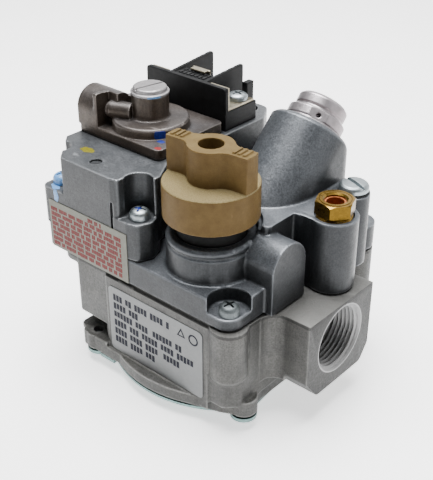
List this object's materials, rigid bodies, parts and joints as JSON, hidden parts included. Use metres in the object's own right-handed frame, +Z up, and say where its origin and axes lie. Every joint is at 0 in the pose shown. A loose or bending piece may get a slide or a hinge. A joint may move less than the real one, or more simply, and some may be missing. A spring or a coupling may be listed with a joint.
{
  "type": "gas valve",
  "caption": "Cast gas control valve with threaded inlet and outlet ports, turn-and-push knob, leaning magnet tower, regulator, pilot outlet and screw terminals.",
  "frame": {"origin": "centre of the footprint at the lowest point, the underside of the dished bottom plate", "axes": "+X along the gas flow toward the outlet port, -Y toward the front label, +Z up toward the knob"},
  "size_m": [0.1176, 0.0972, 0.1116],
  "materials": {
    "cast_body": "as-cast, fine grain",
    "cast_upper": "as-cast, slightly darker",
    "zinc_bonnet": "brownish grey die-cast zinc",
    "zinc_plated": "bright zinc plate",
    "plain_steel": "plain",
    "spring_steel": "drawn wire",
    "brass": "turned",
    "copper_wire": "enamelled winding",
    "rubber": "smooth",
    "black_plastic": "moulded phenolic",
    "tan_plastic": "grained",
    "bobbin_plastic": "moulded nylon",
    "label_film": "printed film",
    "sticker_film": "printed paper"
  },
  "bodies": {
    "valve": {"lower_body": "cast_body", "upper_body": "cast_upper", "operator_housing": "cast_body", "bottom_plate": "zinc_plated", "main_diaphragm": "rubber", "main_valve_spring": "spring_steel", "body_gasket": "rubber", "stem_guide": "black_plastic", "knob_spring": "spring_steel", "magnet_unit": "brass", "magnet_nut": "zinc_plated", "pilot_nut": "brass", "pilot_cap": "zinc_plated", "pilot_cap_ring": "rubber", "operator_gasket": "rubber", "solenoid_yoke": "zinc_plated", "solenoid_bobbin": "bobbin_plastic", "solenoid_coil": "copper_wire", "solenoid_core": "plain_steel", "plunger_spring": "spring_steel", "servo_diaphragm": "rubber", "regulator_bonnet": "zinc_bonnet", "regulator_spring_seat": "plain_steel", "regulator_spring": "spring_steel", "regulator_cap": "zinc_plated", "terminal_block": "black_plastic", "inlet_strainer": "plain_steel", "front_label": "label_film", "warning_sticker": "sticker_film", "bottom_screw_1": "zinc_plated", "operator_screw_1": "zinc_plated", "bottom_screw_2": "zinc_plated", "operator_screw_2": "zinc_plated", "bottom_screw_3": "zinc_plated", "operator_screw_3": "zinc_plated", "bottom_screw_4": "zinc_plated", "operator_screw_4": "zinc_plated", "body_screw_1": "zinc_plated", "body_screw_2": "zinc_plated", "bonnet_screw_1": "zinc_plated", "terminal_plate_1": "brass", "terminal_screw_1": "zinc_plated", "terminal_plate_2": "brass", "terminal_screw_2": "zinc_plated", "terminal_plate_3": "brass", "terminal_screw_3": "zinc_plated"},
    "cock": {"cock_plug": "brass"},
    "knob": {"knob": "tan_plastic", "knob_stem": "brass"},
    "push_rod": {"push_rod": "plain_steel"},
    "safety_valve": {"safety_armature": "plain_steel", "safety_disc": "rubber", "safety_spring": "spring_steel"},
    "main_valve": {"main_valve_stem": "plain_steel", "main_valve_disc": "rubber"},
    "plunger": {"solenoid_plunger": "plain_steel", "plunger_seal": "rubber"},
    "regulator_screw": {"regulator_adjust_screw": "brass"},
    "pilot_screw": {"pilot_adjust_screw": "brass"}
  },
  "joints": [
    {"name": "knob_turn", "type": "hinge", "parent": "valve", "child": "cock", "pos_m": [0.0144, -0.0234, 0.0576], "axis": [0, 0, 1], "range_deg": [0, 180]},
    {"name": "knob_push", "type": "slide", "parent": "cock", "child": "knob", "axis": [0, 0, -1], "range_m": [0, 0.0035], "stiffness_N_per_m": 500, "springref_m": -0.004, "deforming": ["knob_spring"]},
    {"name": "rod_lift", "type": "slide", "parent": "valve", "child": "push_rod", "axis": [0, 0.7071, 0.7071], "range_m": [0, 0.0028]},
    {"name": "safety_lift", "type": "slide", "parent": "valve", "child": "safety_valve", "axis": [0, 0.7071, 0.7071], "range_m": [0, 0.0028]},
    {"name": "main_valve_open", "type": "slide", "parent": "valve", "child": "main_valve", "axis": [0, 0, -1], "range_m": [0, 0.0025], "stiffness_N_per_m": 300, "springref_m": -0.004, "deforming": ["main_valve_spring", "main_diaphragm"]},
    {"name": "plunger_lift", "type": "slide", "parent": "valve", "child": "plunger", "axis": [0, 0, 1], "range_m": [0, 0.0013], "stiffness_N_per_m": 300, "springref_m": -0.003, "deforming": ["plunger_spring"]},
    {"name": "regulator_screw_turn", "type": "hinge", "parent": "valve", "child": "regulator_screw", "pos_m": [-0.0337, -0.0054, 0.1016], "axis": [0, 0, 1], "range_deg": [-180, 180]},
    {"name": "pilot_screw_turn", "type": "hinge", "parent": "valve", "child": "pilot_screw", "pos_m": [0.0425, 0.0272, 0.0656], "axis": [0, 0, 1], "range_deg": [-180, 180]}
  ],
  "couplings": [
    {"joint": "rod_lift", "follows": "knob_push", "ratio": 0.8},
    {"joint": "safety_lift", "follows": "knob_push", "ratio": 0.8}
  ]
}
